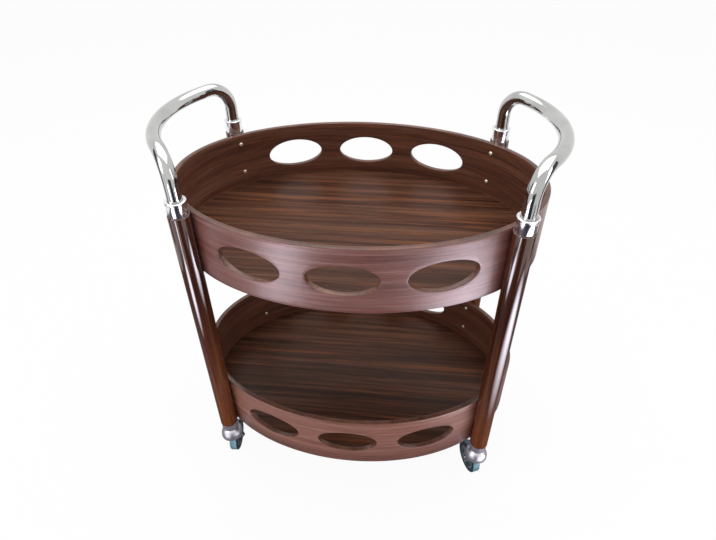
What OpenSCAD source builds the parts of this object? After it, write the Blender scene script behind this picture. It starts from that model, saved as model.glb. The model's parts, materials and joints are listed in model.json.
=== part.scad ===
// Oval two-tier bar cart: two bent wood trays with oval cut-outs, four turned posts,
// two chromed tube handles and four hooded casters. Millimetres, +Z up, the origin on
// the floor under the middle of the cart, +X along the cart to the right-hand handle.

/* [Trays] */
// Length of both oval trays over their rims
tray_l = 700; // [660:5:740]
// Width of both oval trays over their rims
tray_w = 470; // [440:5:500]
// Height of each bent wood rim
rim_h = 132; // [118:1:150]
// Wall of the bent wood rims
rim_t = 10; // [8:0.5:12]
// Height of the floor panels' undersides over the rims' bottom edges
panel_lift = 5; // [3:0.5:8]
// Thickness of the floor panels
panel_t = 9; // [6:0.5:11]
// Depth of the groove in the rim that holds the floor panel's tongue
groove_d = 4; // [2:0.5:5]
// Thickness of the floor panels' tongues
tongue_t = 5; // [3:0.5:5.5]
// Distance by which the lower rim hangs below the posts' wooden ends
lower_drop = 3; // [0:0.5:8]

/* [Cut-outs] */
// Width of the oval cut-outs
cut_w = 120; // [90:1:135]
// Height of the oval cut-outs
cut_h = 61; // [40:1:68]
// Depth of the cut-outs' centres below the rim's top
cut_drop = 64; // [50:1:68]
// Distance of the side cut-outs from the middle one, along the cart
cut_pitch = 160.5; // [150:0.5:170]

/* [Posts] */
// Diameter of the turned posts
post_d = 38; // [32:1:42]
// Length of the turned posts
post_len = 567; // [480:1:640]
// Angle round the trays' oval at which the posts stand
post_angle = 39.5; // [38:0.5:42]
// Depth of the seat that fits a post to the rim's curve
seat_d = 0.6; // [0.3:0.1:1.5]
// Rounding of the posts' ends
post_edge = 1; // [0.5:0.25:2]

/* [Tray screws] */
// Shank diameter of the screws that hold the rims to the posts
screw_d = 4.6; // [3.5:0.1:5.5]
// Depth to which the screws enter the posts
screw_in = 13; // [9:0.5:13]
// Diameter of the screws' heads
screw_head_d = 9; // [7:0.5:10]
// Height of the screws' heads
screw_head_h = 2.6; // [2:0.1:3.5]
// Depth to which the screws' heads are let into the rim
screw_sink = 0.8; // [0.5:0.1:1.5]
// Depth of the upper screws below the rim's top
screw_top = 21; // [14:1:30]
// Distance between the upper and the lower screws
screw_gap = 66; // [50:1:74]

/* [Handles] */
// Outer diameter of the handle tubes
tube_d = 25; // [21:0.5:27]
// Wall of the handle tubes
tube_t = 1.5; // [1:0.25:2.5]
// Height of the handle bars' axis over the upper rim
bar_rise = 103.4; // [85:0.2:130]
// Radius of the bends between the handles' legs and bars
bend_r = 47.5; // [38:0.5:60]
// Angle by which the bars leave the corners outwards
bar_angle = 36.6; // [30:0.2:44]

/* [Ferrules] */
// Outer diameter of the ferrules between the posts and the handles
ferrule_d = 34; // [31:0.5:36]
// Height of the ferrules
ferrule_h = 28; // [22:0.5:36]
// Thickness of the ferrules' bases under the tubes
ferrule_base = 6; // [4:0.5:8]
// Distance by which the ferrules' lips stand out
lip_out = 1.3; // [0.8:0.1:1.8]
// Height of the ferrules' lips
lip_h = 4; // [3:0.25:6]
// Diameter of the studs that tie posts, ferrules and handles together
stud_d = 8; // [6:0.5:9]
// Depth to which the studs enter the posts
stud_in = 35; // [25:1:45]
// Length of the plugs in the tubes' ends
plug_len = 16; // [12:0.5:20]

/* [Casters] */
// Diameter of the caster wheels
wheel_d = 70; // [60:1:76]
// Width of the tyres
wheel_w = 18; // [15:0.5:20]
// Diameter of the hubs inside the tyres
hub_d = 51; // [42:0.5:54]
// Rounding of the tyres' shoulders
tyre_edge = 2.5; // [1:0.25:4]
// Thickness of the hubs' webs
web_t = 6; // [4:0.5:8]
// Diameter of the wheels' axles
axle_d = 6; // [5:0.25:8]
// Distance of each axle behind its swivel axis
trail = 21; // [15:0.5:26]
// Height of the hoods' centres over the axles
hood_rise = 43; // [42:0.5:50]
// Outer diameter of the domed hoods
hood_d = 47.6; // [45:0.2:54]
// Wall of the hoods
hood_t = 3; // [2:0.25:3.5]
// Depth of the hoods' skirts below the hoods' centres
skirt_h = 3; // [1:0.5:5]
// Height of the solid crowns' undersides over the hoods' centres
crown_rise = 12; // [10:0.5:14]
// Thickness of the fork legs
leg_t = 2.5; // [2:0.25:3]
// Diameter of the necks on which the casters swivel
neck_d = 20; // [18:0.5:24]
// Height of the necks over the hoods
neck_h = 3; // [2:0.25:6]
// Diameter of the collars at the posts' lower ends
collar_d = 36; // [30:0.5:38]
// Height of the collars at the posts' lower ends
collar_h = 18.2; // [14:0.2:24]
// Diameter of the casters' stems
stem_d = 11; // [9:0.25:12]
// Length of the stems above the necks
stem_len = 38; // [32:0.5:44]
// Wall of the sockets that hold the stems
socket_t = 1.4; // [1.2:0.1:2]

/* [Caster directions] */
// Turn of the front left caster from straight back, clockwise from above
turn_front_left = -4; // [-180:1:180]
// Turn of the front right caster
turn_front_right = -22; // [-180:1:180]
// Turn of the rear left caster
turn_rear_left = 14; // [-180:1:180]
// Turn of the rear right caster
turn_rear_right = -10; // [-180:1:180]

/* [Clearances] */
// Radial play of fixed fits: screws, studs, plugs, ferrules and sockets
fit_play = 0.05; // [0.02:0.01:0.1]
// Radial play of the running fits: stems in sockets and hubs on axles
run_play = 0.06; // [0.02:0.01:0.1]
// Play of the floor panels in their grooves and of the posts on the rims
wood_play = 0.2; // [0.1:0.05:0.4]
// Gap between faces that turn past each other
turn_gap = 0.3; // [0.2:0.05:0.5]

/* [Hidden] */
$fn = 144;
// Every corner: its name, its side in X and in Y and its caster's turn
CORNERS = [
    ["front_left", -1, -1, turn_front_left],
    ["front_right", 1, -1, turn_front_right],
    ["rear_left", -1, 1, turn_rear_left],
    ["rear_right", 1, 1, turn_rear_right],
];
CORNER_PARTS = [
    "post", "ferrule", "tube_plug", "post_collar", "stem_socket", "caster_stem",
    "grip_ring", "caster_hood", "wheel_hub", "wheel_tyre", "axle_bolt", "axle_nut",
];

// Half axes of the rims outside, inside and along the middle of their wall
rim_a = tray_l / 2;
rim_b = tray_w / 2;
rim_am = rim_a - rim_t / 2;
rim_bm = rim_b - rim_t / 2;
// Flats round the ovals, each less than 0.15 mm off the true curve
oval_steps = 120;

// Heights, from the floor up
axle_z = wheel_d / 2;
hood_z = axle_z + hood_rise;
crown_z = hood_z + crown_rise;
collar_z = hood_z + hood_d / 2 + neck_h;
foot_z = collar_z + collar_h;
top_z = foot_z + post_len;
upper_z = top_z - rim_h;
lower_z = foot_z - lower_drop;
tube_z = top_z + ferrule_base;
bar_z = top_z + bar_rise;

// Where the posts meet the rims, and their axes
seat_at = [rim_a * cos(post_angle), rim_b * sin(post_angle)];
seat_dir = [rim_b * cos(post_angle), rim_a * sin(post_angle)];
seat_n = seat_dir / norm(seat_dir);
post_at = seat_at + seat_n * (post_d / 2 - seat_d);

// The handles' bars in plan: one arc between the two corner bends
bar_r = (post_at.y - bend_r * cos(bar_angle)) / sin(bar_angle);
bar_x = post_at.x + bend_r * sin(bar_angle) - bar_r * cos(bar_angle);
seam_w = 0.5;
seam_out = 0.04;

// Ends and edges of the small turned parts
screw_tip_d = 1;
screw_tip_h = 3;
head_edge = 0.6;
recess_w = 0.9;
recess_h = 1.2;
pilot_over = 0.5;
stud_tip_d = 3;
stud_tip_h = 5;
ferrule_edge = 1;

// Caster parts
boss_t = 5;
hub_proud = 0.5;
hub_step = 1.5;
hub_rim_t = 4;
hub_slope = 0.5;
tyre_lip = 1;
hub_half = wheel_w / 2 + hub_proud;
leg_in = hub_half + turn_gap;
leg_out = leg_in + leg_t;
boss_r = axle_d / 2 + boss_t;
fork_top = hood_d * 0.25;
fork_back = hood_d * 0.36;
fork_front = hood_d * 0.27;
axle_head_d = axle_d * 1.7;
axle_head_h = 3.5;
nut_af = axle_d * 1.7;
nut_h = 5;
axle_end = 2.2;
socket_r = stem_d / 2 + run_play + socket_t;
socket_above = 8;
flange_w = 4;
flange_t = 1.5;
ring_h = 1.6;
ring_drop = 7;
ring_bite = 1;
rivet_d = stem_d + 5;
rivet_h = 2.2;
stem_tip_h = 3;
stem_tip_in = 2;

// Points of an arc about p, from angle a0 to a1 in n steps
function arc(p, r, a0, a1, n = 4) =
    [for (i = [0:n]) let (a = a0 + (a1 - a0) * i / n) p + r * [cos(a), sin(a)]];

// Point where the tangent from p touches a circle of radius r about c, on side s
function touch(p, c, r, s) =
    let (d = norm(c - p), l = sqrt(d * d - r * r), a = atan2(c.y - p.y, c.x - p.x) + s * asin(r / d))
    p + l * [cos(a), sin(a)];

// Oval prism that stands out of the rims' outer face by the given distance
module oval(out, h) {
    linear_extrude(h) polygon([
        for (i = [0:oval_steps - 1])
            let (t = 360 * i / oval_steps)
                [(rim_a + out) * cos(t), (rim_b + out) * sin(t)]
    ]);
}

// Puts its children on one post's axis, at floor level
module at_post(c) {
    translate([c[1] * post_at.x, c[2] * post_at.y, 0]) children();
}

// Puts its children at one post's two screws, +Z pointing from the rim into the post
module at_screws(c, rim_top) {
    for (drop = [screw_top, screw_top + screw_gap])
        translate([c[1] * seat_at.x, c[2] * seat_at.y, rim_top - drop])
            rotate([0, 90, atan2(c[2] * seat_n.y, c[1] * seat_n.x)])
                children();
}

// Puts its children in a caster's own frame: +X back along the trail, +Y to the left
module at_caster(c) {
    at_post(c) rotate([0, 0, 90 - c[3]]) children();
}

// Puts its children on a caster's axle, +Z to the wheel's left
module on_axle(c) {
    at_caster(c) translate([trail, 0, axle_z]) rotate([-90, 0, 0]) children();
}

// One oval cut-out through the rim's wall, at x along the cart, on side s
module cut_out(x, s) {
    y = rim_bm * sqrt(1 - pow(x / rim_am, 2));
    way = atan2(s * y / pow(rim_bm, 2), x / pow(rim_am, 2));
    translate([x, s * y, rim_h - cut_drop])
        rotate([0, 90, way])
            scale([cut_h / cut_w, 1, 1])
                cylinder(d = cut_w, h = 4 * rim_t, center = true);
}

// Bent wood rim with the groove for the floor panel's tongue, its bottom edge at height 0
module rim() {
    difference() {
        oval(0, rim_h);
        translate([0, 0, -1]) oval(-rim_t, rim_h + 2);
        translate([0, 0, panel_lift]) oval(groove_d - rim_t, tongue_t);
        for (x = [-cut_pitch, 0, cut_pitch], s = [-1, 1]) cut_out(x, s);
        for (c = CORNERS) at_screws(c, rim_h) {
            translate([0, 0, -2 * rim_t])
                cylinder(d = screw_d + 2 * fit_play, h = 3 * rim_t, $fn = 36);
            translate([0, 0, -2 * rim_t])
                cylinder(d = screw_head_d + 4 * wood_play, h = rim_t + screw_sink, $fn = 36);
        }
    }
}

module upper_rim() {
    color("#7a4a42") translate([0, 0, upper_z]) rim();
}

module lower_rim() {
    color("#7a4a42") translate([0, 0, lower_z]) rim();
}

// Veneered floor panel, its tongue in the rim's groove
module floor_panel() {
    translate([0, 0, panel_lift]) {
        oval(-rim_t - wood_play, panel_t);
        oval(groove_d - rim_t - wood_play, tongue_t);
    }
}

module upper_floor_panel() {
    color("#5a3a30") translate([0, 0, upper_z]) floor_panel();
}

module lower_floor_panel() {
    color("#5a3a30") translate([0, 0, lower_z]) floor_panel();
}

// Pan-head screw from inside the rim into the post, its axis +Z, the rim's face at 0
module tray_screw() {
    seat = screw_sink - rim_t;
    r = screw_head_d / 2;
    crown = screw_head_h - head_edge;
    head = concat([[0, 0], [r, 0], [r, head_edge]],
        [for (i = [1:4]) [r * cos(18 * i), head_edge + crown * sin(22.5 * i)]],
        [[0, screw_head_h]]);
    difference() {
        union() {
            translate([0, 0, seat]) mirror([0, 0, 1]) rotate_extrude($fn = 36) polygon(head);
            translate([0, 0, seat]) cylinder(d = screw_d, h = screw_in - screw_tip_h - seat, $fn = 36);
            translate([0, 0, screw_in - screw_tip_h])
                cylinder(d1 = screw_d, d2 = screw_tip_d, h = screw_tip_h, $fn = 36);
        }
        for (a = [0, 90]) translate([0, 0, seat - screw_head_h]) rotate([0, 0, a])
            cube([r, recess_w, 2 * recess_h], center = true);
    }
}

module upper_tray_screws() {
    color("#d8d0b8") for (c = CORNERS) at_screws(c, upper_z + rim_h) tray_screw();
}

module lower_tray_screws() {
    color("#d8d0b8") for (c = CORNERS) at_screws(c, lower_z + rim_h) tray_screw();
}

// Turned post: seats for both rims, pilot holes, stud hole above, socket bore below
module post(c) {
    r = post_d / 2;
    outline = concat([[0, 0]], arc([r - post_edge, post_edge], post_edge, -90, 0),
        arc([r - post_edge, post_len - post_edge], post_edge, 0, 90), [[0, post_len]]);
    color("#4a2012") difference() {
        at_post(c) translate([0, 0, foot_z]) rotate_extrude() polygon(outline);
        translate([0, 0, upper_z - wood_play]) oval(wood_play, rim_h + wood_play + 1);
        translate([0, 0, lower_z - 1]) oval(wood_play, rim_h + wood_play + 1);
        for (rim_top = [upper_z + rim_h, lower_z + rim_h]) at_screws(c, rim_top)
            cylinder(d = screw_d + 2 * fit_play, h = screw_in + pilot_over, $fn = 36);
        at_post(c) translate([0, 0, top_z - stud_in - 1])
            cylinder(d = stud_d + 2 * fit_play, h = stud_in + 2, $fn = 48);
        at_post(c) translate([0, 0, foot_z - 1])
            cylinder(r = socket_r + fit_play, h = stem_len + socket_above - collar_h + 2, $fn = 72);
    }
}

// Chromed ferrule: a cup for the tube's end, with a rounded lip, on the post's top
module ferrule(c) {
    r = ferrule_d / 2;
    lip = r + lip_out;
    bore = tube_d / 2 + fit_play;
    hole = stud_d / 2 + fit_play;
    e = lip_h / 4;
    outline = concat(
        [[hole, 0]],
        arc([r - ferrule_edge, ferrule_edge], ferrule_edge, -90, 0),
        [[r, ferrule_h - lip_h]],
        arc([lip - e, ferrule_h - lip_h + e], e, -90, 0),
        arc([lip - e, ferrule_h - e], e, 0, 90),
        [[bore, ferrule_h], [bore, ferrule_base], [hole, ferrule_base]]
    );
    color("#c9ccd2") at_post(c) translate([0, 0, top_z]) rotate_extrude() polygon(outline);
}

// Threaded plug in the end of a handle's leg
module tube_plug(c) {
    color("#8f9296") at_post(c) translate([0, 0, tube_z]) difference() {
        cylinder(d = tube_d - 2 * tube_t - 2 * fit_play, h = plug_len, $fn = 72);
        translate([0, 0, -1]) cylinder(d = stud_d + 2 * fit_play, h = plug_len + 2, $fn = 48);
    }
}

// Studs from the posts' tops through the ferrules' bases into the tube plugs
module handle_studs() {
    reach = stud_in + ferrule_base + plug_len - 1;
    color("#8f9296") for (c = CORNERS) at_post(c) translate([0, 0, top_z - stud_in]) {
        cylinder(d1 = stud_tip_d, d2 = stud_d, h = stud_tip_h, $fn = 48);
        translate([0, 0, stud_tip_h]) cylinder(d = stud_d, h = reach - stud_tip_h, $fn = 48);
    }
}

// Cross-section of the handle tube
module tube_section() {
    difference() {
        circle(d = tube_d, $fn = 72);
        circle(d = tube_d - 2 * tube_t, $fn = 72);
    }
}

// Narrow band, a hair wider than the tube, that ties two stretches of it together
module tube_seam() {
    linear_extrude(seam_w, center = true) difference() {
        circle(d = tube_d + seam_out, $fn = 72);
        circle(d = tube_d - 2 * tube_t - seam_out, $fn = 72);
    }
}

// Handle on the +X side: two legs, two corner bends and the bowed bar in one tube
module handle_tube() {
    leg = bar_z - bend_r - tube_z;
    for (s = [0, 1]) mirror([0, s, 0])
        translate([post_at.x, -post_at.y, tube_z + leg]) rotate([0, 0, 90 - bar_angle]) {
            translate([0, 0, -leg]) linear_extrude(leg) tube_section();
            translate([bend_r, 0, 0])
                rotate([90, 0, 0])
                    rotate([0, 0, 90])
                        rotate_extrude(angle = 90) translate([bend_r, 0]) tube_section();
            translate([bend_r, 0, bend_r]) rotate([0, 90, 0]) tube_seam();
        }
    translate([bar_x, 0, bar_z])
        rotate([0, 0, -bar_angle])
            rotate_extrude(angle = 2 * bar_angle) translate([bar_r, 0]) tube_section();
}

module right_handle() {
    color("#c9ccd2") handle_tube();
}

module left_handle() {
    color("#c9ccd2") mirror([1, 0, 0]) handle_tube();
}

// Collar between the post's lower end and the caster, held by the socket's flange
module post_collar(c) {
    color("#c9ccd2") at_post(c) translate([0, 0, collar_z]) difference() {
        cylinder(d = collar_d, h = collar_h);
        translate([0, 0, -1]) cylinder(r = socket_r + fit_play, h = collar_h + 2, $fn = 72);
        translate([0, 0, -1])
            cylinder(r = socket_r + flange_w + fit_play, h = flange_t + 1, $fn = 72);
    }
}

// Flanged socket in the post, with an inner groove for the stem's grip ring
module stem_socket(c) {
    inner = stem_d / 2 + run_play;
    color("#8f9296") at_post(c) translate([0, 0, collar_z]) difference() {
        union() {
            cylinder(r = socket_r + flange_w, h = flange_t, $fn = 72);
            cylinder(r = socket_r, h = stem_len + socket_above, $fn = 72);
        }
        translate([0, 0, -1]) cylinder(r = inner, h = stem_len + 5, $fn = 72);
        translate([0, 0, stem_len - ring_drop - turn_gap])
            cylinder(r = inner + ring_bite / 2 + turn_gap, h = ring_h + 2 * turn_gap, $fn = 72);
    }
}

// Stem riveted into the hood's crown, grooved near its top for the grip ring
module caster_stem(c) {
    r = stem_d / 2;
    shoulder = collar_z + stem_len - stem_tip_h;
    color("#9a9da1") at_post(c) difference() {
        union() {
            translate([0, 0, crown_z - rivet_h]) cylinder(d = rivet_d, h = rivet_h, $fn = 72);
            translate([0, 0, crown_z - rivet_h])
                cylinder(r = r, h = shoulder - crown_z + rivet_h, $fn = 72);
            translate([0, 0, shoulder])
                cylinder(r1 = r, r2 = r - stem_tip_in, h = stem_tip_h, $fn = 72);
        }
        translate([0, 0, collar_z + stem_len - ring_drop - fit_play]) difference() {
            cylinder(r = r + 1, h = ring_h + 2 * fit_play, $fn = 72);
            translate([0, 0, -1]) cylinder(r = r - ring_bite, h = ring_h + 3, $fn = 72);
        }
    }
}

// Split spring ring that snaps into the socket's groove
module grip_ring(c) {
    r = stem_d / 2;
    color("#6f7276") at_caster(c) translate([0, 0, collar_z + stem_len - ring_drop])
        difference() {
            cylinder(r = r + ring_bite / 2, h = ring_h, $fn = 72);
            translate([0, 0, -1]) cylinder(r = r - ring_bite + fit_play, h = ring_h + 2, $fn = 72);
            translate([0, -1, -1]) cube([r + ring_bite, 2, ring_h + 2]);
        }
}

// Side view of a fork leg, in the caster's own X and Z
module fork_outline() {
    axle = [trail, axle_z];
    back = [fork_back, hood_z - skirt_h + 1];
    front = [-fork_front, hood_z - skirt_h + 1];
    polygon([
        [-fork_top, crown_z + 1],
        [fork_top, crown_z + 1],
        back,
        touch(back, axle, boss_r, 1),
        axle,
        touch(front, axle, boss_r, -1),
        front,
    ]);
    translate(axle) circle(boss_r, $fn = 72);
}

// Domed hood with its neck and the two fork legs, cast in one piece
module caster_hood(c) {
    r = hood_d / 2;
    color("#c9ccd2") at_caster(c) difference() {
        union() {
            difference() {
                union() {
                    translate([0, 0, hood_z]) sphere(r);
                    translate([0, 0, hood_z - skirt_h]) cylinder(r = r, h = skirt_h);
                    translate([0, 0, hood_z + r - 4]) cylinder(d = neck_d, h = neck_h + 4 - turn_gap);
                }
                translate([0, 0, hood_z - 2 * r - skirt_h]) cylinder(r = 2 * r, h = 2 * r);
                intersection() {
                    union() {
                        translate([0, 0, hood_z]) sphere(r - hood_t);
                        translate([0, 0, hood_z - skirt_h - 1]) cylinder(r = r - hood_t, h = skirt_h + 1);
                    }
                    translate([-r, -r, hood_z - skirt_h - 1])
                        cube([2 * r, 2 * r, skirt_h + 1 + crown_rise]);
                }
            }
            for (s = [-1, 1]) translate([0, s * (leg_in + leg_t / 2), 0])
                rotate([90, 0, 0])
                    linear_extrude(leg_t, center = true) fork_outline();
        }
        translate([0, 0, crown_z - 1]) cylinder(d = stem_d + 2 * fit_play, h = r + neck_h, $fn = 72);
        translate([trail, 0, axle_z]) rotate([90, 0, 0])
            cylinder(d = axle_d + 2 * fit_play, h = 4 * leg_out, center = true, $fn = 48);
    }
}

// Wheel hub: a boss on the axle, a thin web and a rim for the tyre
module wheel_hub(c) {
    bore = axle_d / 2 + run_play;
    r = hub_d / 2;
    rim_half = wheel_w / 2 - hub_step;
    half = [
        [boss_r, hub_half],
        [boss_r + hub_slope, web_t / 2],
        [r - hub_rim_t, web_t / 2],
        [r - hub_rim_t + hub_slope, rim_half],
        [r, rim_half],
    ];
    outline = concat(
        [[bore, -hub_half]],
        [for (p = half) [p.x, -p.y]],
        [for (i = [len(half) - 1:-1:0]) half[i]],
        [[bore, hub_half]]
    );
    color("#5b5f63") on_axle(c) rotate_extrude() polygon(outline);
}

// Rubber tyre pressed on the hub
module wheel_tyre(c) {
    r = wheel_d / 2;
    w = wheel_w / 2;
    e = tyre_edge;
    bore = hub_d / 2 + fit_play;
    outline = concat(
        [[bore, -w + tyre_lip], [bore + tyre_lip, -w]],
        arc([r - e, e - w], e, -90, 0),
        arc([r - e, w - e], e, 0, 90),
        [[bore + tyre_lip, w], [bore, w - tyre_lip]]
    );
    color("#7f9aa3") on_axle(c) rotate_extrude() polygon(outline);
}

// Axle bolt through both fork legs and the hub, its domed head on the left
module axle_bolt(c) {
    color("#a5a8ac") on_axle(c) {
        translate([0, 0, -leg_out - nut_h - axle_end])
            cylinder(d = axle_d, h = 2 * leg_out + nut_h + axle_end, $fn = 48);
        translate([0, 0, leg_out]) rotate_extrude($fn = 48)
            polygon(concat([[0, 0], [axle_head_d / 2, 0]],
                [for (i = [0:4]) [
                    axle_head_d / 2 * cos(18 * i),
                    head_edge + (axle_head_h - head_edge) * sin(22.5 * i),
                ]],
                [[0, axle_head_h]]));
    }
}

// Hexagon nut on the axle bolt's right-hand end
module axle_nut(c) {
    color("#a5a8ac") on_axle(c) translate([0, 0, -leg_out - nut_h]) difference() {
        cylinder(d = nut_af / cos(30), h = nut_h, $fn = 6);
        translate([0, 0, -1]) cylinder(d = axle_d + 2 * fit_play, h = nut_h + 2, $fn = 48);
    }
}

upper_rim();
upper_floor_panel();
lower_rim();
lower_floor_panel();
left_handle();
right_handle();
handle_studs();
upper_tray_screws();
lower_tray_screws();
for (c = CORNERS) {
    post(c);
    ferrule(c);
    tube_plug(c);
    post_collar(c);
    stem_socket(c);
    caster_stem(c);
    grip_ring(c);
    caster_hood(c);
    wheel_hub(c);
    wheel_tyre(c);
    axle_bolt(c);
    axle_nut(c);
}
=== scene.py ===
# Oval two-tier bar cart: looks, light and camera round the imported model. Metres, +Z up.
import json
from math import atan2, cos, pi, radians, sin, sqrt, tan

import bmesh
import bpy
from mathutils import Matrix, Vector


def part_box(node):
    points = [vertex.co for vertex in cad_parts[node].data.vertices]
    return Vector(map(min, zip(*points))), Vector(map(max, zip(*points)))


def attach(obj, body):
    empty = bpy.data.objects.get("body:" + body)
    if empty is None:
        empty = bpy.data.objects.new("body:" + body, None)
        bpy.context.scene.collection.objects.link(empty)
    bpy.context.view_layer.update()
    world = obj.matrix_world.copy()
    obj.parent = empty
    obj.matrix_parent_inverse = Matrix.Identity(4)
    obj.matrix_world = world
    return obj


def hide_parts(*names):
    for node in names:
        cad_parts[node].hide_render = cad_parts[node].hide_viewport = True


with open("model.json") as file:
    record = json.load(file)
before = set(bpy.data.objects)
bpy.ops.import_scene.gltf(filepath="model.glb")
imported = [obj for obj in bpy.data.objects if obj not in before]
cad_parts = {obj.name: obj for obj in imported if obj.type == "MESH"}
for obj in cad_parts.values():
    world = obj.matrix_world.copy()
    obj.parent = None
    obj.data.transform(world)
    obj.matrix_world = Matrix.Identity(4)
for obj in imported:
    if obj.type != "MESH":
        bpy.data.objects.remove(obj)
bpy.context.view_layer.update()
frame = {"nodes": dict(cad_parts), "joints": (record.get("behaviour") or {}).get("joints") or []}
nodes = frame["nodes"]
scene = bpy.context.scene
CORNERS = ("front_left", "front_right", "rear_left", "rear_right")

# Camera at the photograph's viewpoint, turned and pitched as the picture shows. The picture's
# size, the focal length and the optical centre are in pixels.
EYE = (0.0876, -0.8515, 1.1656)
YAW, PITCH, ROLL = -0.1178, 0.6248, -0.0174
PICTURE_W, PICTURE_H, FOCAL = 716, 540, 520.9
CENTRE_X, CENTRE_Y = 350.4, 234.7
FILM = 36
ahead = Vector((sin(YAW) * cos(PITCH), cos(YAW) * cos(PITCH), -sin(PITCH)))
sideways = Vector((cos(YAW), -sin(YAW), 0))
above = sideways.cross(ahead)
across = cos(ROLL) * sideways + sin(ROLL) * above
upward = cos(ROLL) * above - sin(ROLL) * sideways
lens = bpy.data.cameras.new("camera")
lens.sensor_width = FILM
lens.lens = FOCAL / PICTURE_W * FILM
lens.shift_x = (PICTURE_W / 2 - CENTRE_X) / PICTURE_W
lens.shift_y = (CENTRE_Y - PICTURE_H / 2) / PICTURE_W
lens.clip_start = 0.05
camera = bpy.data.objects.new("camera", lens)
camera.matrix_world = (Matrix.Translation(EYE)
                       @ Matrix((across, upward, -ahead)).transposed().to_4x4())
scene.collection.objects.link(camera)
scene.camera = camera


# ---------------------------------------------------------------- node tools

def group(name, inputs, outputs):
    """A shader node group with named sockets, and its input and output nodes."""
    tree = bpy.data.node_groups.new(name, "ShaderNodeTree")
    for label, kind, value in inputs:
        socket = tree.interface.new_socket(label, in_out="INPUT", socket_type=kind)
        if value is not None:
            socket.default_value = value
    for label, kind in outputs:
        tree.interface.new_socket(label, in_out="OUTPUT", socket_type=kind)
    return tree, tree.nodes.new("NodeGroupInput"), tree.nodes.new("NodeGroupOutput")


def add(tree, kind, links=None, **values):
    """Adds one node, sets its plain properties and values and joins its inputs."""
    node = tree.nodes.new("ShaderNode" + kind)
    for key, value in values.items():
        setattr(node, key, value)
    for key, source in (links or {}).items():
        socket = node.inputs[key]
        if isinstance(source, bpy.types.NodeSocket):
            tree.links.new(source, socket)
        else:
            socket.default_value = source
    return node


def ramp(tree, source, *stops):
    """A colour ramp over the given (position, colour) stops."""
    node = add(tree, "ValToRGB", {"Fac": source})
    line = node.color_ramp.elements
    while len(line) < len(stops):
        line.new(0.5)
    for spot, (at, colour) in zip(line, stops):
        spot.position = at
        spot.color = (*colour, 1) if len(colour) == 3 else colour
    return node


def grey(value):
    """A colour with the same value in red, green and blue."""
    return (value, value, value)


def srgb(*colour):
    """A colour given in screen values, 0 to 255, as the linear values a shader takes."""
    return tuple(((c / 255 + 0.055) / 1.055) ** 2.4 if c > 10 else c / 3294.6 for c in colour)


def height_above_floor(tree):
    """The height of the shaded point, in metres."""
    return add(tree, "SeparateXYZ", {0: add(tree, "TexCoord").outputs["Object"]}).outputs["Z"]


# ------------------------------------------------------------ shared effects

def wood_figure():
    """Veneer figure: broad streaks, fine lines, warm streaks, pores and relief."""
    tree, src, out = group("wood_figure", [("Vector", "NodeSocketVector", None)], [
        ("Figure", "NodeSocketFloat"), ("Lines", "NodeSocketFloat"), ("Warm", "NodeSocketFloat"),
        ("Pores", "NodeSocketFloat"), ("Height", "NodeSocketFloat")])
    broad = add(tree, "TexNoise", {"Vector": src.outputs[0], "Scale": 1.0, "Detail": 5.0,
                                   "Roughness": 0.62, "Distortion": 0.5})
    fine = add(tree, "TexNoise", {"Vector": src.outputs[0], "Scale": 5.5, "Detail": 6.0,
                                  "Roughness": 0.7, "Distortion": 0.15})
    heart = add(tree, "TexNoise", {"Vector": src.outputs[0], "Scale": 2.6, "Detail": 4.0,
                                   "Roughness": 0.6, "Distortion": 0.4})
    pore = add(tree, "TexNoise", {"Vector": src.outputs[0], "Scale": 21.0, "Detail": 2.0})
    figure = ramp(tree, broad.outputs[0], (0.33, grey(0)), (0.67, grey(1)))
    lines = ramp(tree, fine.outputs[0], (0.34, grey(0)), (0.64, grey(1)))
    warm = ramp(tree, heart.outputs[0], (0.52, grey(0)), (0.72, grey(1)))
    pores = ramp(tree, pore.outputs[0], (0.6, grey(0)), (0.74, grey(0.6)))
    relief = add(tree, "Math", {0: lines.outputs[0], 1: pores.outputs[0]}, operation="SUBTRACT")
    for socket, node in zip(out.inputs, (figure, lines, warm, pores, relief)):
        tree.links.new(node.outputs[0], socket)
    return tree


def handling_marks():
    """Soft blotches and fine scuffs that hands and cloths leave on a finish."""
    tree, src, out = group("handling_marks", [
        ("Vector", "NodeSocketVector", None), ("Size", "NodeSocketFloat", 9.0)],
        [("Smudges", "NodeSocketFloat"), ("Scuffs", "NodeSocketFloat")])
    blots = add(tree, "TexNoise", {"Vector": src.outputs[0], "Scale": src.outputs[1],
                                   "Detail": 3.0, "Distortion": 0.8})
    hairs = add(tree, "TexNoise", {"Vector": src.outputs[0], "Scale": 420.0, "Detail": 4.0})
    smudges = ramp(tree, blots.outputs[0], (0.4, grey(0)), (0.66, grey(1)))
    scuffs = ramp(tree, hairs.outputs[0], (0.45, grey(0)), (0.75, grey(1)))
    tree.links.new(smudges.outputs[0], out.inputs[0])
    tree.links.new(scuffs.outputs[0], out.inputs[1])
    return tree


WOOD = wood_figure()
MARKS = handling_marks()


def finish(name, **plain):
    """A material with a Principled BSDF whose plain values are set on its own sockets."""
    m = bpy.data.materials.new(name)
    m.use_nodes = True
    tree = m.node_tree
    shader = tree.nodes["Principled BSDF"]
    for key, value in plain.items():
        shader.inputs[key.replace("_", " ")].default_value = value
    place = add(tree, "TexCoord").outputs["Object"]
    return m, tree, shader, place


def effect(tree, kind, **links):
    """Places one of the shared effect groups and joins its inputs."""
    node = tree.nodes.new("ShaderNodeGroup")
    node.node_tree = kind
    for key, source in links.items():
        if isinstance(source, bpy.types.NodeSocket):
            tree.links.new(source, node.inputs[key])
        else:
            node.inputs[key].default_value = source
    return node


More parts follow.
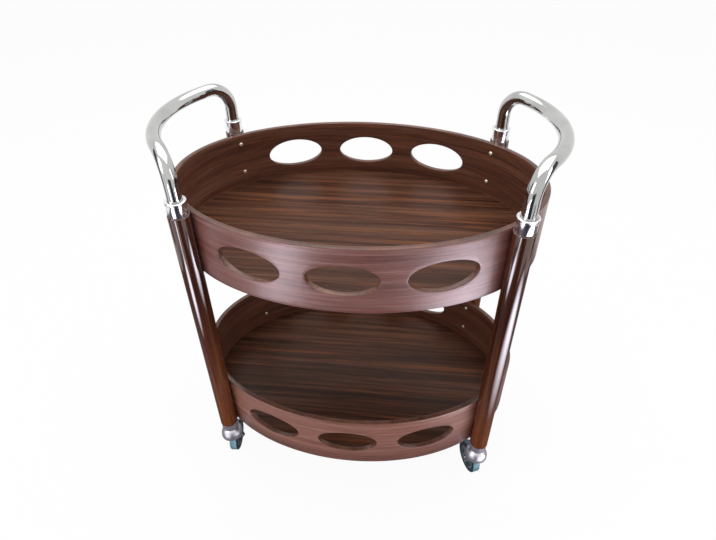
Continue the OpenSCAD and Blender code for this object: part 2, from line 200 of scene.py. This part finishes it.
def veneer(name, stretch, fine, dark, mid, light, warm, rough, bump, **plain):
    """Lacquered wood: tones along the figure, pores, and a finish worn by hands."""
    m, tree, shader, place = finish(name, **plain)
    scaled = add(tree, "Mapping", {"Vector": place, "Scale": stretch})
    wood = effect(tree, WOOD, Vector=scaled.outputs[0])
    marks = effect(tree, MARKS, Vector=place, Size=7.0)
    tone = add(tree, "Mix", {"Factor": fine, "A": wood.outputs["Figure"],
                             "B": wood.outputs["Lines"]}, data_type="FLOAT")
    colour = ramp(tree, tone.outputs[0], (0.08, dark), (0.5, mid), (0.95, light))
    hearted = add(tree, "MixRGB", {"Fac": wood.outputs["Warm"], "Color1": colour.outputs[0],
                                   "Color2": (*warm, 1)})
    pored = add(tree, "MixRGB", {"Fac": wood.outputs["Pores"], "Color1": hearted.outputs[0],
                                 "Color2": (*dark, 1)})
    tree.links.new(pored.outputs[0], shader.inputs["Base Color"])
    sheen = add(tree, "MapRange", {"Value": marks.outputs["Smudges"], "To Min": rough - 0.05,
                                   "To Max": rough + 0.09})
    tree.links.new(sheen.outputs[0], shader.inputs["Roughness"])
    relief = add(tree, "Bump", {"Height": wood.outputs["Height"], "Distance": 0.0004,
                                "Strength": bump})
    tree.links.new(relief.outputs[0], shader.inputs["Normal"])
    return m


def paint_shade_by_height(m, start, end, tone):
    """Painted shade: darkens the base colour towards the given tone from one height to another."""
    tree = m.node_tree
    shader = tree.nodes["Principled BSDF"]
    unshaded_colour = shader.inputs["Base Color"].links[0].from_socket
    shade_amount = add(tree, "MapRange", {"Value": height_above_floor(tree), "From Min": start,
                                   "From Max": end})
    painted_shade_mix = add(tree, "MixRGB", {"Fac": shade_amount.outputs[0], "Color1": unshaded_colour,
                                "Color2": (*tone, 1)}, blend_type="MULTIPLY")
    tree.links.new(painted_shade_mix.outputs[0], shader.inputs["Base Color"])


def metal(name, colour, dull, rough, marks_size=14.0, bump=0.0):
    """Bare or plated metal with smudged and finely scuffed patches."""
    m, tree, shader, place = finish(name, Metallic=1.0)
    marks = effect(tree, MARKS, Vector=place, Size=marks_size)
    tint = add(tree, "MixRGB", {"Fac": marks.outputs["Smudges"], "Color1": (*colour, 1),
                                "Color2": (*dull, 1)})
    tree.links.new(tint.outputs[0], shader.inputs["Base Color"])
    both = add(tree, "Math", {0: marks.outputs["Smudges"], 1: marks.outputs["Scuffs"]},
               operation="ADD")
    sheen = add(tree, "MapRange", {"Value": both.outputs[0], "From Max": 1.6,
                                   "To Min": rough[0], "To Max": rough[1]})
    tree.links.new(sheen.outputs[0], shader.inputs["Roughness"])
    if bump:
        relief = add(tree, "Bump", {"Height": marks.outputs["Scuffs"], "Distance": 0.0002,
                                    "Strength": bump})
        tree.links.new(relief.outputs[0], shader.inputs["Normal"])
    return m


def moulded(name, dark, light, rough, bump):
    """Rubber or plastic with a fine skin and blotches of dust."""
    m, tree, shader, place = finish(name)
    marks = effect(tree, MARKS, Vector=place, Size=60.0)
    tint = add(tree, "MixRGB", {"Fac": marks.outputs["Smudges"], "Color1": (*dark, 1),
                                "Color2": (*light, 1)})
    tree.links.new(tint.outputs[0], shader.inputs["Base Color"])
    sheen = add(tree, "MapRange", {"Value": marks.outputs["Scuffs"], "To Min": rough,
                                   "To Max": rough + 0.15})
    tree.links.new(sheen.outputs[0], shader.inputs["Roughness"])
    relief = add(tree, "Bump", {"Height": marks.outputs["Scuffs"], "Distance": 0.0003,
                                "Strength": bump})
    tree.links.new(relief.outputs[0], shader.inputs["Normal"])
    return m


# Painted light: the bands' outer faces take lighter copies of the veneer that lines their inside,
# the upper band's lightened to stand in for its sheen and the lower band's lighter still.
upper_rim_outside_painted_light = veneer(
    "upper_rim_veneer_painted_light", stretch=(1.8, 1.8, 110), fine=0.5, dark=srgb(80, 45, 39),
    mid=srgb(120, 76, 70), light=srgb(154, 108, 101), warm=srgb(136, 69, 56), rough=0.4, bump=0.2,
    Specular_IOR_Level=0.3, Coat_Weight=0.55, Coat_Roughness=0.28)
lower_rim_outside_painted_light = veneer(
    "lower_rim_veneer_painted_light", stretch=(1.8, 1.8, 100), fine=0.5, dark=srgb(94, 54, 44),
    mid=srgb(145, 96, 83), light=srgb(180, 130, 114), warm=srgb(164, 88, 66), rough=0.4, bump=0.2,
    Specular_IOR_Level=0.3, Coat_Weight=0.6, Coat_Roughness=0.28)
# Painted shade: the lower band's outer face darkens towards its foot.
paint_shade_by_height(lower_rim_outside_painted_light, start=0.185, end=0.125, tone=(0.62, 0.55, 0.54))
rim_inside = veneer(
    "rim_inside_veneer", stretch=(2.2, 2.2, 70), fine=0.42, dark=srgb(54, 30, 22),
    mid=srgb(92, 57, 44), light=srgb(120, 80, 62), warm=srgb(114, 63, 42), rough=0.4, bump=0.2,
    Specular_IOR_Level=0.2, Coat_Weight=0.08, Coat_Roughness=0.3)
rim_edge = veneer(
    "rim_edge_lacquer", stretch=(4, 4, 40), fine=0.42, dark=srgb(62, 38, 30),
    mid=srgb(94, 61, 49), light=srgb(122, 86, 71), warm=srgb(106, 62, 45), rough=0.3, bump=0.1,
    Specular_IOR_Level=0.3, Coat_Weight=0.25, Coat_Roughness=0.12)
floor_veneer = veneer(
    "floor_panel_veneer", stretch=(1.4, 56, 56), fine=0.3, dark=srgb(45, 26, 19),
    mid=srgb(72, 45, 33), light=srgb(103, 70, 53), warm=srgb(117, 68, 43), rough=0.36, bump=0.2,
    Specular_IOR_Level=0.08, Coat_Weight=0.1, Coat_Roughness=0.3)
post_lacquer = veneer(
    "post_lacquer", stretch=(60, 60, 1.6), fine=0.42, dark=srgb(56, 24, 11),
    mid=srgb(100, 50, 24), light=srgb(134, 74, 38), warm=srgb(120, 60, 24), rough=0.3, bump=0.03,
    Specular_IOR_Level=0.0, Coat_Roughness=0.09, Coat_IOR=1.8)
# Painted shade: the posts darken from low down towards their tops.
paint_shade_by_height(post_lacquer, start=0.16, end=0.5, tone=(0.4, 0.34, 0.38))
# The posts' polish is worn thin towards their feet
tree = post_lacquer.node_tree
polish = add(tree, "MapRange", {"Value": height_above_floor(tree), "From Min": 0.12,
                                "From Max": 0.32, "To Min": 0.2})
tree.links.new(polish.outputs[0], tree.nodes["Principled BSDF"].inputs["Coat Weight"])

chrome = metal("polished_chrome", colour=(0.56, 0.56, 0.55), dull=(0.46, 0.46, 0.455),
               rough=(0.05, 0.15))
cup_chrome = metal("ferrule_chrome", colour=(0.86, 0.85, 0.87), dull=(0.72, 0.71, 0.72),
                   rough=(0.08, 0.2), marks_size=40.0)
hood_chrome = metal("hood_chrome", colour=(0.78, 0.75, 0.81), dull=(0.6, 0.58, 0.63),
                    rough=(0.32, 0.48), marks_size=40.0)
zinc = metal("zinc_plate", colour=(0.44, 0.45, 0.46), dull=(0.28, 0.29, 0.31),
             rough=(0.22, 0.45), marks_size=40.0, bump=0.2)
screw_steel = metal("screw_steel", colour=srgb(255, 250, 234), dull=srgb(226, 216, 196),
                    rough=(0.3, 0.45), marks_size=90.0)
rubber = moulded("tyre_rubber", dark=srgb(92, 134, 150), light=srgb(144, 188, 208),
                 rough=0.5, bump=0.4)
side_rubber = moulded("tyre_side_rubber", dark=srgb(26, 36, 42), light=srgb(58, 74, 82),
                      rough=0.45, bump=0.3)
hub_plastic = moulded("hub_plastic", dark=srgb(90, 106, 114), light=srgb(148, 164, 172),
                      rough=0.4, bump=0.3)


# ------------------------------------------------------------- modelling tools

def at(x, y, z):
    """A shift to the given place."""
    return Matrix.Translation((x, y, z))


def turned(outline, place=Matrix(), steps=64, closed=False):
    """A body turned round +Z from its (radius, height) outline, then put in its place."""
    bm = bmesh.new()
    points = [bm.verts.new((r, 0, z)) for r, z in outline]
    chain = [bm.edges.new(pair) for pair in zip(points, points[1:])]
    if closed:
        chain.append(bm.edges.new((points[-1], points[0])))
    bmesh.ops.spin(bm, geom=points + chain, cent=(0, 0, 0), axis=(0, 0, 1), angle=2 * pi,
                   steps=steps, use_merge=True)
    bmesh.ops.remove_doubles(bm, verts=bm.verts[:], dist=1e-6)
    bmesh.ops.transform(bm, matrix=place, verts=bm.verts[:])
    bmesh.ops.recalc_face_normals(bm, faces=bm.faces[:])
    return bm


def soften(bm, width, segments=3, over=35):
    """Rounds every edge sharper than the given angle, in degrees."""
    sharp = [e for e in bm.edges if e.is_manifold and e.calc_face_angle(0) > radians(over)]
    bmesh.ops.bevel(bm, geom=sharp, offset=width, offset_type="OFFSET", segments=segments,
                    profile=0.5, affect="EDGES", clamp_overlap=True, material=-1)
    return bm


def piece(name, bm, body, slot, *finishes, stands_for=()):
    """Makes the mesh an object that rides on a body and stands for its CAD nodes."""
    for face in bm.faces:
        face.smooth = True
    mesh = bpy.data.meshes.new(name)
    bm.to_mesh(mesh)
    bm.free()
    mesh.set_sharp_from_angle(angle=radians(40))
    for m in finishes:
        mesh.materials.append(m)
    made = bpy.data.objects.new(name, mesh)
    scene.collection.objects.link(made)
    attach(made, body)
    if stands_for:
        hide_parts(*stands_for)
    return made


# ------------------------------------------------------------------------ rims

# The oval's half length and half width, the band's height and thickness, then the cut-outs'
# half length, half height, middle above the band's foot, and distance from one to the next
RIM_A, RIM_B, RIM_H, RIM_T = 0.350, 0.235, 0.132, 0.010
CUT_A, CUT_B, CUT_Z, CUT_PITCH = 0.060, 0.0305, 0.068, 0.1605
MID_A, MID_B = RIM_A - RIM_T / 2, RIM_B - RIM_T / 2
SPOKES, RINGS, ROWS, COLUMNS = 64, 4, 16, 48
# Each tier's name, the height of its band's foot, and its outer faces' lighter copy of the veneer,
# which holds painted light.
TIERS = (("upper", 0.558, upper_rim_outside_painted_light), ("lower", 0.120, lower_rim_outside_painted_light))


def turn_beside(middle, offset):
    """Angle on the rim's mid-wall oval whose point lies offset metres along the tangent."""
    centre = Vector((MID_A * cos(middle), MID_B * sin(middle)))
    way = Vector((-MID_A * sin(middle), MID_B * cos(middle))).normalized()
    turn = middle
    for _ in range(6):
        point = Vector((MID_A * cos(turn), MID_B * sin(turn)))
        slope = Vector((-MID_A * sin(turn), MID_B * cos(turn))).dot(way)
        turn += (offset - (point - centre).dot(way)) / slope
    return turn


def row_height(step):
    """Height of a row of the rim's mesh: -1 is the lower edge, 0 the cut-outs' middle."""
    return CUT_Z + step * (RIM_H - CUT_Z if step > 0 else CUT_Z)


def add_window(bm, middle, reach):
    """Part of the rim's sheet round one cut-out, in turn and height. Gives its cross edges."""
    hole = bmesh.ops.create_circle(bm, cap_ends=False, segments=SPOKES, radius=1)["verts"]
    edges = list({e for v in hole for e in v.link_edges})
    grown = bmesh.ops.extrude_edge_only(bm, edges=edges)["geom"]
    for v in (g for g in grown if isinstance(g, bmesh.types.BMVert)):
        x, y, _ = v.co / max(abs(v.co.x), abs(v.co.y))
        v.co = (middle + x * reach, row_height(y), 0)
    for v in hole:
        v.co = (turn_beside(middle, CUT_A * v.co.x), CUT_Z + CUT_B * v.co.y, 0)
    return [e for v in hole for e in v.link_edges if e.other_vert(v) not in hole]


def rim_band(foot):
    """Bent wood band with six cut-outs, standing at the given height."""
    bm = bmesh.new()
    side = atan2(MID_B * sqrt(1 - (CUT_PITCH / MID_A) ** 2), CUT_PITCH * MID_B / MID_A)
    reach = (pi / 2 - side) / 2
    radial = []
    for middle in (side, pi / 2, pi - side, pi + side, 3 * pi / 2, 2 * pi - side):
        radial += add_window(bm, middle, reach)
    bmesh.ops.subdivide_edges(bm, edges=radial, cuts=RINGS, use_grid_fill=True)
    ends = pi / 2 - 3 * reach
    for middle in (0, pi):
        sheet = bmesh.ops.create_grid(bm, x_segments=COLUMNS, y_segments=ROWS, size=1)["verts"]
        for v in sheet:
            v.co = (middle + v.co.x * ends, row_height(tan(v.co.y * pi / 4)), 0)
    for v in bm.verts:
        if v.co.x < -ends - 1e-6:
            v.co.x += 2 * pi
    bmesh.ops.remove_doubles(bm, verts=bm.verts[:], dist=1e-5)
    turns = bm.verts.layers.float.new("turn")
    for v in bm.verts:
        v[turns] = v.co.x
        v.co = (RIM_A * cos(v.co.x), RIM_B * sin(v.co.x), foot + v.co.y)
    bmesh.ops.remove_doubles(bm, verts=bm.verts[:], dist=1e-6)
    inner = bmesh.ops.extrude_face_region(bm, geom=bm.faces[:], use_keep_orig=True)["geom"]
    for v in (g for g in inner if isinstance(g, bmesh.types.BMVert)):
        v.co.x = (RIM_A - RIM_T) * cos(v[turns])
        v.co.y = (RIM_B - RIM_T) * sin(v[turns])
    bmesh.ops.recalc_face_normals(bm, faces=bm.faces[:])
    soften(bm, 0.0013, over=50)
    for face in bm.faces:
        spot, way = face.calc_center_median(), face.normal
        outward = Vector((spot.x / RIM_A ** 2, spot.y / RIM_B ** 2, 0)).normalized().dot(way)
        face.material_index = 0 if outward > 0.8 else 1 if outward < -0.8 else 2
    return bm


# Each band's outer faces take its lighter copy of the veneer, with painted light; its inner faces
# the plain veneer and its edges the lacquer.
for tier, foot, rim_outside_painted_light in TIERS:
    piece(tier + "_rim_band", rim_band(foot), "cart_frame", "rim_veneer",
          rim_outside_painted_light, rim_inside, rim_edge, stands_for=[tier + "_rim"])
    nodes[tier + "_floor_panel"].data.materials.clear()
    nodes[tier + "_floor_panel"].data.materials.append(floor_veneer)


# --------------------------------------------------------------- posts, handles

# The tube's radius and wall, its bends' radius, then the bar's height and half turn
TUBE_R, TUBE_T, BEND_R, BAR_Z, BAR_TURN = 0.0125, 0.0015, 0.0475, 0.7934, radians(36.6)
POST_R = 0.019


def middle_of(node):
    """The middle of a CAD node's box."""
    low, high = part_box(node)
    return (low + high) / 2


def handle(side):
    """One bent tube: leg, bend, bowed bar, bend and leg, swept by spinning its ring."""
    plug_low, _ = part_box("front_right_tube_plug")
    foot = middle_of("front_right_tube_plug")
    bar_r = (-foot.y - BEND_R * cos(BAR_TURN)) / sin(BAR_TURN)
    bm = bmesh.new()
    for r in (TUBE_R, TUBE_R - TUBE_T):
        bmesh.ops.create_circle(bm, cap_ends=False, segments=48, radius=r)
    bmesh.ops.bridge_loops(bm, edges=bm.edges[:])
    bmesh.ops.transform(bm, matrix=at(foot.x, foot.y, plug_low.z), verts=bm.verts[:])

    def grow(ring, by):
        """Draws the tube on in a straight line."""
        last = bmesh.ops.extrude_face_region(bm, geom=ring)["geom"]
        moved = [g for g in last if isinstance(g, bmesh.types.BMVert)]
        bmesh.ops.translate(bm, vec=by, verts=moved)
        return last

    def bend(ring, centre, axis, angle, steps):
        """Draws the tube on round an axis."""
        return bmesh.ops.spin(bm, geom=ring, cent=centre, axis=axis, angle=angle,
                              steps=steps)["geom_last"]

    leg = BAR_Z - BEND_R - plug_low.z
    upright = Vector((0, 0, 1))
    ring = grow(bm.verts[:] + bm.edges[:] + bm.faces[:], (0, 0, leg))
    out = Vector((sin(BAR_TURN), cos(BAR_TURN), 0))
    hub = Vector((foot.x, foot.y, BAR_Z - BEND_R)) + out * BEND_R
    ring = bend(ring, hub, upright.cross(out), pi / 2, 16)
    bow = Vector((foot.x + BEND_R * sin(BAR_TURN) - bar_r * cos(BAR_TURN), 0, BAR_Z))
    ring = bend(ring, bow, upright, 2 * BAR_TURN, 36)
    back = Vector((-sin(BAR_TURN), cos(BAR_TURN), 0))
    hub = Vector((foot.x, -foot.y, BAR_Z - BEND_R)) - back * BEND_R
    ring = bend(ring, hub, upright.cross(back), pi / 2, 16)
    grow(ring, (0, 0, -leg))
    if side < 0:
        bmesh.ops.scale(bm, vec=(-1, 1, 1), verts=bm.verts[:])
    bmesh.ops.recalc_face_normals(bm, faces=bm.faces[:])
    return bm


def post(corner):
    """Turned post with softly rounded ends."""
    low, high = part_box(corner + "_post")
    centre = middle_of(corner + "_ferrule")
    outline = [(0, low.z), (POST_R, low.z), (POST_R, high.z), (0, high.z)]
    return soften(turned(outline, at(centre.x, centre.y, 0), 72), 0.001)


def ferrule(corner):
    """Chromed cup round the tube's end: plain body and a rounded lip over a fine groove."""
    low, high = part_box(corner + "_ferrule")
    centre = middle_of(corner + "_ferrule")
    r, lip, bore, stud, base = 0.017, 0.0183, 0.01255, 0.00405, 0.006
    top = high.z - low.z
    outline = [(stud, 0), (r - 0.001, 0), (r - 0.0003, 0.0003), (r, 0.001), (r, top - 0.0046),
               (r - 0.0008, top - 0.0042), (r - 0.0002, top - 0.0038), (lip - 0.0004, top - 0.0034),
               (lip, top - 0.0026), (lip, top - 0.0014), (lip - 0.0005, top - 0.0004),
               (lip - 0.0014, top), (bore + 0.0004, top), (bore, top - 0.0005), (bore, base),
               (stud, base)]
    return turned(outline, at(centre.x, centre.y, low.z), 72, closed=True)


def tyre(corner):
    """Rubber tyre with a plain tread, softly rounded shoulders and a stepped side."""
    spin = next(j for j in frame["joints"] if j["name"] == corner + "_wheel_spin")
    hub, way = Vector(spin["pos_m"]), Vector(spin["axis"])
    # Radii of the bore, the side's step and the tread, then the half width and the shoulder
    bore, lip, r, w, edge = 0.02555, 0.0285, 0.035, 0.009, 0.0025
    side = w - 0.0016
    half = [(bore, w - 0.001), (bore + 0.0004, w - 0.0003), (bore + 0.001, w), (lip, w),
            (lip + 0.0005, w - 0.0005), (r - edge - 0.0006, w - 0.0004)]
    half += [(r - edge + edge * sin(a * pi / 10), w - edge + (edge - 0.0002) * cos(a * pi / 10))
             for a in range(6)]
    outline = [(x, -z) for x, z in half] + half[::-1]
    place = at(*hub) @ way.to_track_quat("Z", "Y").to_matrix().to_4x4()
    bm = turned(outline, place, 96, closed=True)
    for face in bm.faces:
        face.material_index = int(abs((face.calc_center_median() - hub).dot(way)) > side)
    return bm


for name, side in (("left", -1), ("right", 1)):
    piece(name + "_handle_tube", handle(side), "cart_frame", "chrome", chrome,
          stands_for=[name + "_handle"])
for corner in CORNERS:
    piece(corner + "_turned_post", post(corner), "cart_frame", "post_lacquer", post_lacquer,
          stands_for=[corner + "_post"])
    piece(corner + "_ferrule_cup", ferrule(corner), "cart_frame", "chrome", cup_chrome,
          stands_for=[corner + "_ferrule"])
    piece(corner + "_rubber_tyre", tyre(corner), corner + "_wheel", "wheel_rubber",
          rubber, side_rubber, stands_for=[corner + "_wheel_tyre"])

# CAD nodes that keep their own shape take their finish here
KEPT = ((hood_chrome, ("caster_hood", "post_collar")), (hub_plastic, ("hub",)),
        (screw_steel, ("screws",)),
        (zinc, ("studs", "plug", "socket", "stem", "ring", "bolt", "nut")))
for name, node in nodes.items():
    for m, endings in KEPT:
        if name.endswith(endings):
            node.data.materials.clear()
            node.data.materials.append(m)


# ------------------------------------------------------------ floor and lights

def lamp(name, place, size, watts):
    """A soft, oblong lamp that points at the middle of the cart and is not seen itself."""
    light = bpy.data.lights.new(name, "AREA")
    light.shape = "RECTANGLE"
    light.size, light.size_y = size
    light.energy = watts
    made = bpy.data.objects.new(name, light)
    aim = Vector((0, 0, 0.5)) - Vector(place)
    made.matrix_world = at(*place) @ aim.to_track_quat("-Z", "Y").to_matrix().to_4x4()
    made.visible_camera = False
    scene.collection.objects.link(made)


lamp("lamp_over", place=(0.0, 0.4, 2.8), size=(3.4, 2.8), watts=62)
lamp("lamp_front_left", place=(-2.0, -1.7, 1.7), size=(1.0, 1.6), watts=18)
lamp("lamp_right", place=(2.3, -0.6, 1.3), size=(0.8, 1.4), watts=10)


def stage_sheet(name, bm, m, only_reflected=False):
    """A floor or card of the studio, not part of the cart."""
    mesh = bpy.data.meshes.new(name)
    bm.to_mesh(mesh)
    bm.free()
    mesh.materials.append(m)
    made = bpy.data.objects.new(name, mesh)
    scene.collection.objects.link(made)
    if only_reflected:
        made.visible_camera = made.visible_diffuse = made.visible_shadow = False


def background_ray(tree):
    """1 for rays that show the background: the camera's, and those in metal and glass."""
    path = add(tree, "LightPath")
    seen = add(tree, "Math", {0: path.outputs["Is Camera Ray"], 1: path.outputs["Is Glossy Ray"]},
               operation="MAXIMUM")
    return add(tree, "Math", {0: seen.outputs[0], 1: path.outputs["Is Transmission Ray"]},
               operation="MAXIMUM").outputs[0]


# The paper is plain grey to diffuse light, and nearly pure white to the background's rays
PAPER_GREY, PAPER_WHITE, WORLD_GREY = 0.74, 0.95, 0.62
paper = bpy.data.materials.new("studio_paper")
paper.use_nodes = True
tree = paper.node_tree
lit = tree.nodes["Principled BSDF"]
lit.inputs["Base Color"].default_value = (*grey(PAPER_GREY), 1)
lit.inputs["Roughness"].default_value = 0.9
glow = add(tree, "Emission", {"Strength": 1.0})
part = add(tree, "Math", {0: background_ray(tree), 1: PAPER_WHITE}, operation="MULTIPLY")
mixed = add(tree, "MixShader", {0: part.outputs[0], 1: lit.outputs[0], 2: glow.outputs[0]})
tree.links.new(mixed.outputs[0], tree.nodes["Material Output"].inputs["Surface"])
ground = bmesh.new()
bmesh.ops.create_circle(ground, cap_ends=True, segments=64, radius=9)
stage_sheet("studio_floor", ground, paper)


def card(name, place, size, colour, strength=1.0, turn=0.0, tip=0.0, soft=0):
    """A studio card that only shows in reflections: dark to cut glare, or a glow that
    fades over the given part of the way in from its edge."""
    m = bpy.data.materials.new(name)
    m.use_nodes = True
    tree = m.node_tree
    lit = tree.nodes["Principled BSDF"]
    lit.inputs["Base Color"].default_value = (0, 0, 0, 1)
    lit.inputs["Emission Color"].default_value = (*colour, 1)
    lit.inputs["Emission Strength"].default_value = strength
    if soft:
        spot = add(tree, "Mapping", {"Vector": add(tree, "TexCoord").outputs["Object"],
                                     "Location": place, "Rotation": (0, 0, turn),
                                     "Scale": (size[0] / 2, size[1] / 2, 1)}, vector_type="TEXTURE")
        fade = add(tree, "TexGradient", {0: spot.outputs[0]}, gradient_type="SPHERICAL")
        edge = add(tree, "MapRange", {"Value": fade.outputs["Fac"], "From Max": soft})
        tree.links.new(edge.outputs[0], lit.inputs["Alpha"])
    sheet = bmesh.new()
    bmesh.ops.create_grid(sheet, x_segments=1, y_segments=1, size=0.5)
    bmesh.ops.transform(sheet, verts=sheet.verts[:], matrix=at(*place) @ Matrix.Rotation(
        turn, 4, "Z") @ Matrix.Rotation(tip, 4, "X") @ Matrix.Diagonal((*size, 1, 1)))
    stage_sheet(name, sheet, m, only_reflected=True)


DARK, DIM, COOL = (0.02, 0.022, 0.034), (0.12, 0.112, 0.13), (0.9, 0.87, 1.0)
UPRIGHT = pi / 2
card("flag_on_floor", (0.05, -0.79, 0.003), (2.5, 0.86), DARK)
# Painted shadow: a dim card under the cart stands in, in reflections, for the cart's shadow on the
# floor.
card("painted_shadow_under_cart", (0.05, 0.12, 0.003), (2.5, 0.96), DIM)
card("flag_by_camera", (0.12, -1.22, 0.4), (0.75, 0.8), DARK, tip=UPRIGHT)
card("flag_left", (-1.5, -0.25, 0.75), (0.5, 1.5), DARK, turn=pi / 2, tip=UPRIGHT)
card("flag_right", (1.45, -0.1, 0.75), (0.45, 1.5), DARK, turn=pi / 2, tip=UPRIGHT)
card("glow_left", (-0.65, -0.98, 0.006), (0.95, 0.5), COOL, 10.8, radians(76), soft=0.5)
card("glow_far_left", (-0.97, -2.2, 0.0065), (2.1, 0.42), COOL, 9.0, radians(76), soft=0.4)
card("glow_right", (0.8, -0.6, 0.006), (1.1, 0.82), COOL, 13.0, radians(-33), soft=0.9)

scene.world = bpy.data.worlds.new("studio")
scene.world.use_nodes = True
tree = scene.world.node_tree
shown = add(tree, "MixRGB", {"Fac": background_ray(tree), "Color1": (*grey(WORLD_GREY), 1),
                             "Color2": (1, 1, 1, 1)})
tree.links.new(shown.outputs[0], tree.nodes["Background"].inputs["Color"])
tree.nodes["Background"].inputs["Strength"].default_value = 1.0
scene.view_settings.view_transform = "Standard"
